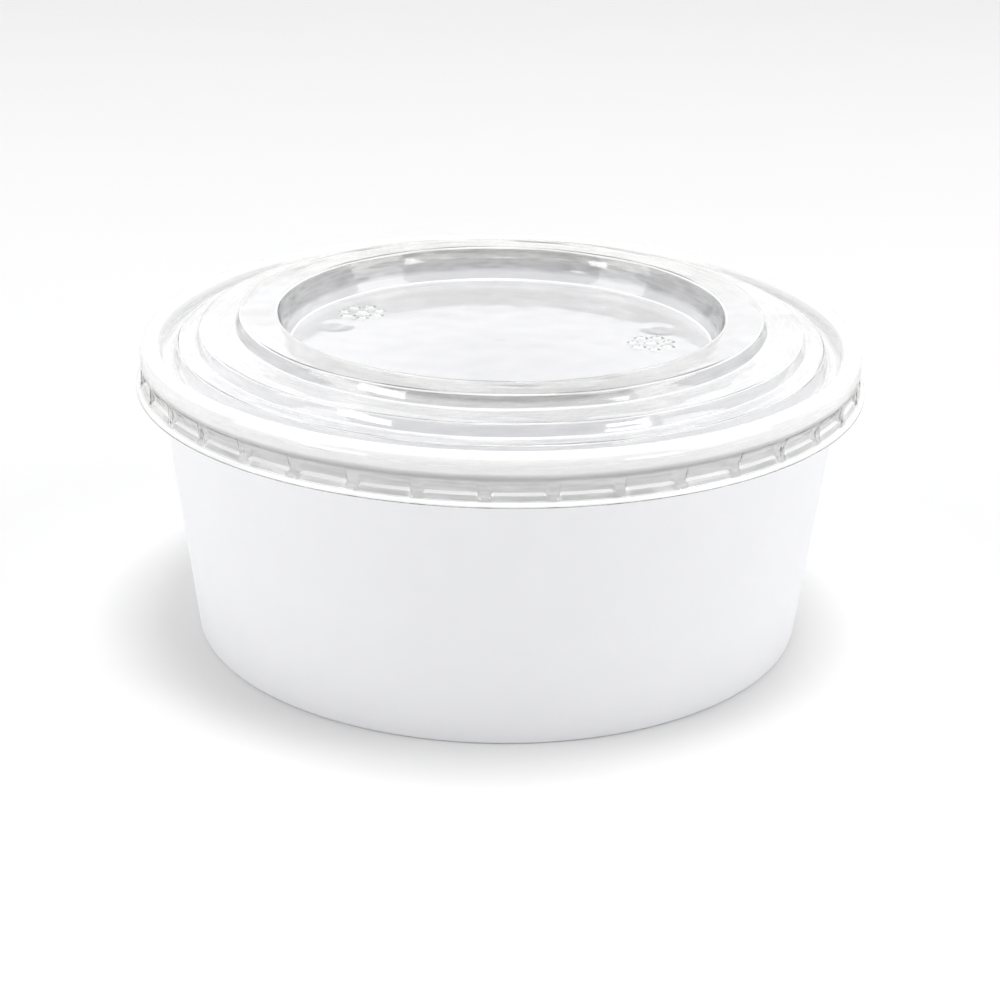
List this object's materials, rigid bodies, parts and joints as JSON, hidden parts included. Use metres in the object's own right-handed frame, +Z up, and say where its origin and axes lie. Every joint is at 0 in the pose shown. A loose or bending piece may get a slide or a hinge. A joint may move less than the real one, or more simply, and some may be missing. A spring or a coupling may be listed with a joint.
{
  "type": "takeaway salad bowl with clear lid",
  "caption": "Round white paper food bowl with a rolled rim and a recessed base, shut by a clear stepped press-on lid with a sunken centre and a lugged skirt.",
  "frame": {"origin": "centre of the foot ring, on the surface that the bowl stands on", "axes": "+Z up along the bowl's axis of revolution, towards the lid; X and Y are any two horizontal directions, with -Y towards the viewer of the picture"},
  "size_m": [0.1528, 0.1528, 0.0684],
  "materials": {
    "paperboard": "smooth white coated paperboard, satin matt",
    "base_board": "smooth white coated paperboard, satin matt",
    "clear_plastic": "clear glossy thermoformed sheet"
  },
  "bodies": {
    "root": {"bowl_wall": "paperboard", "bowl_base": "base_board", "lid": "clear_plastic"}
  },
  "joints": []
}
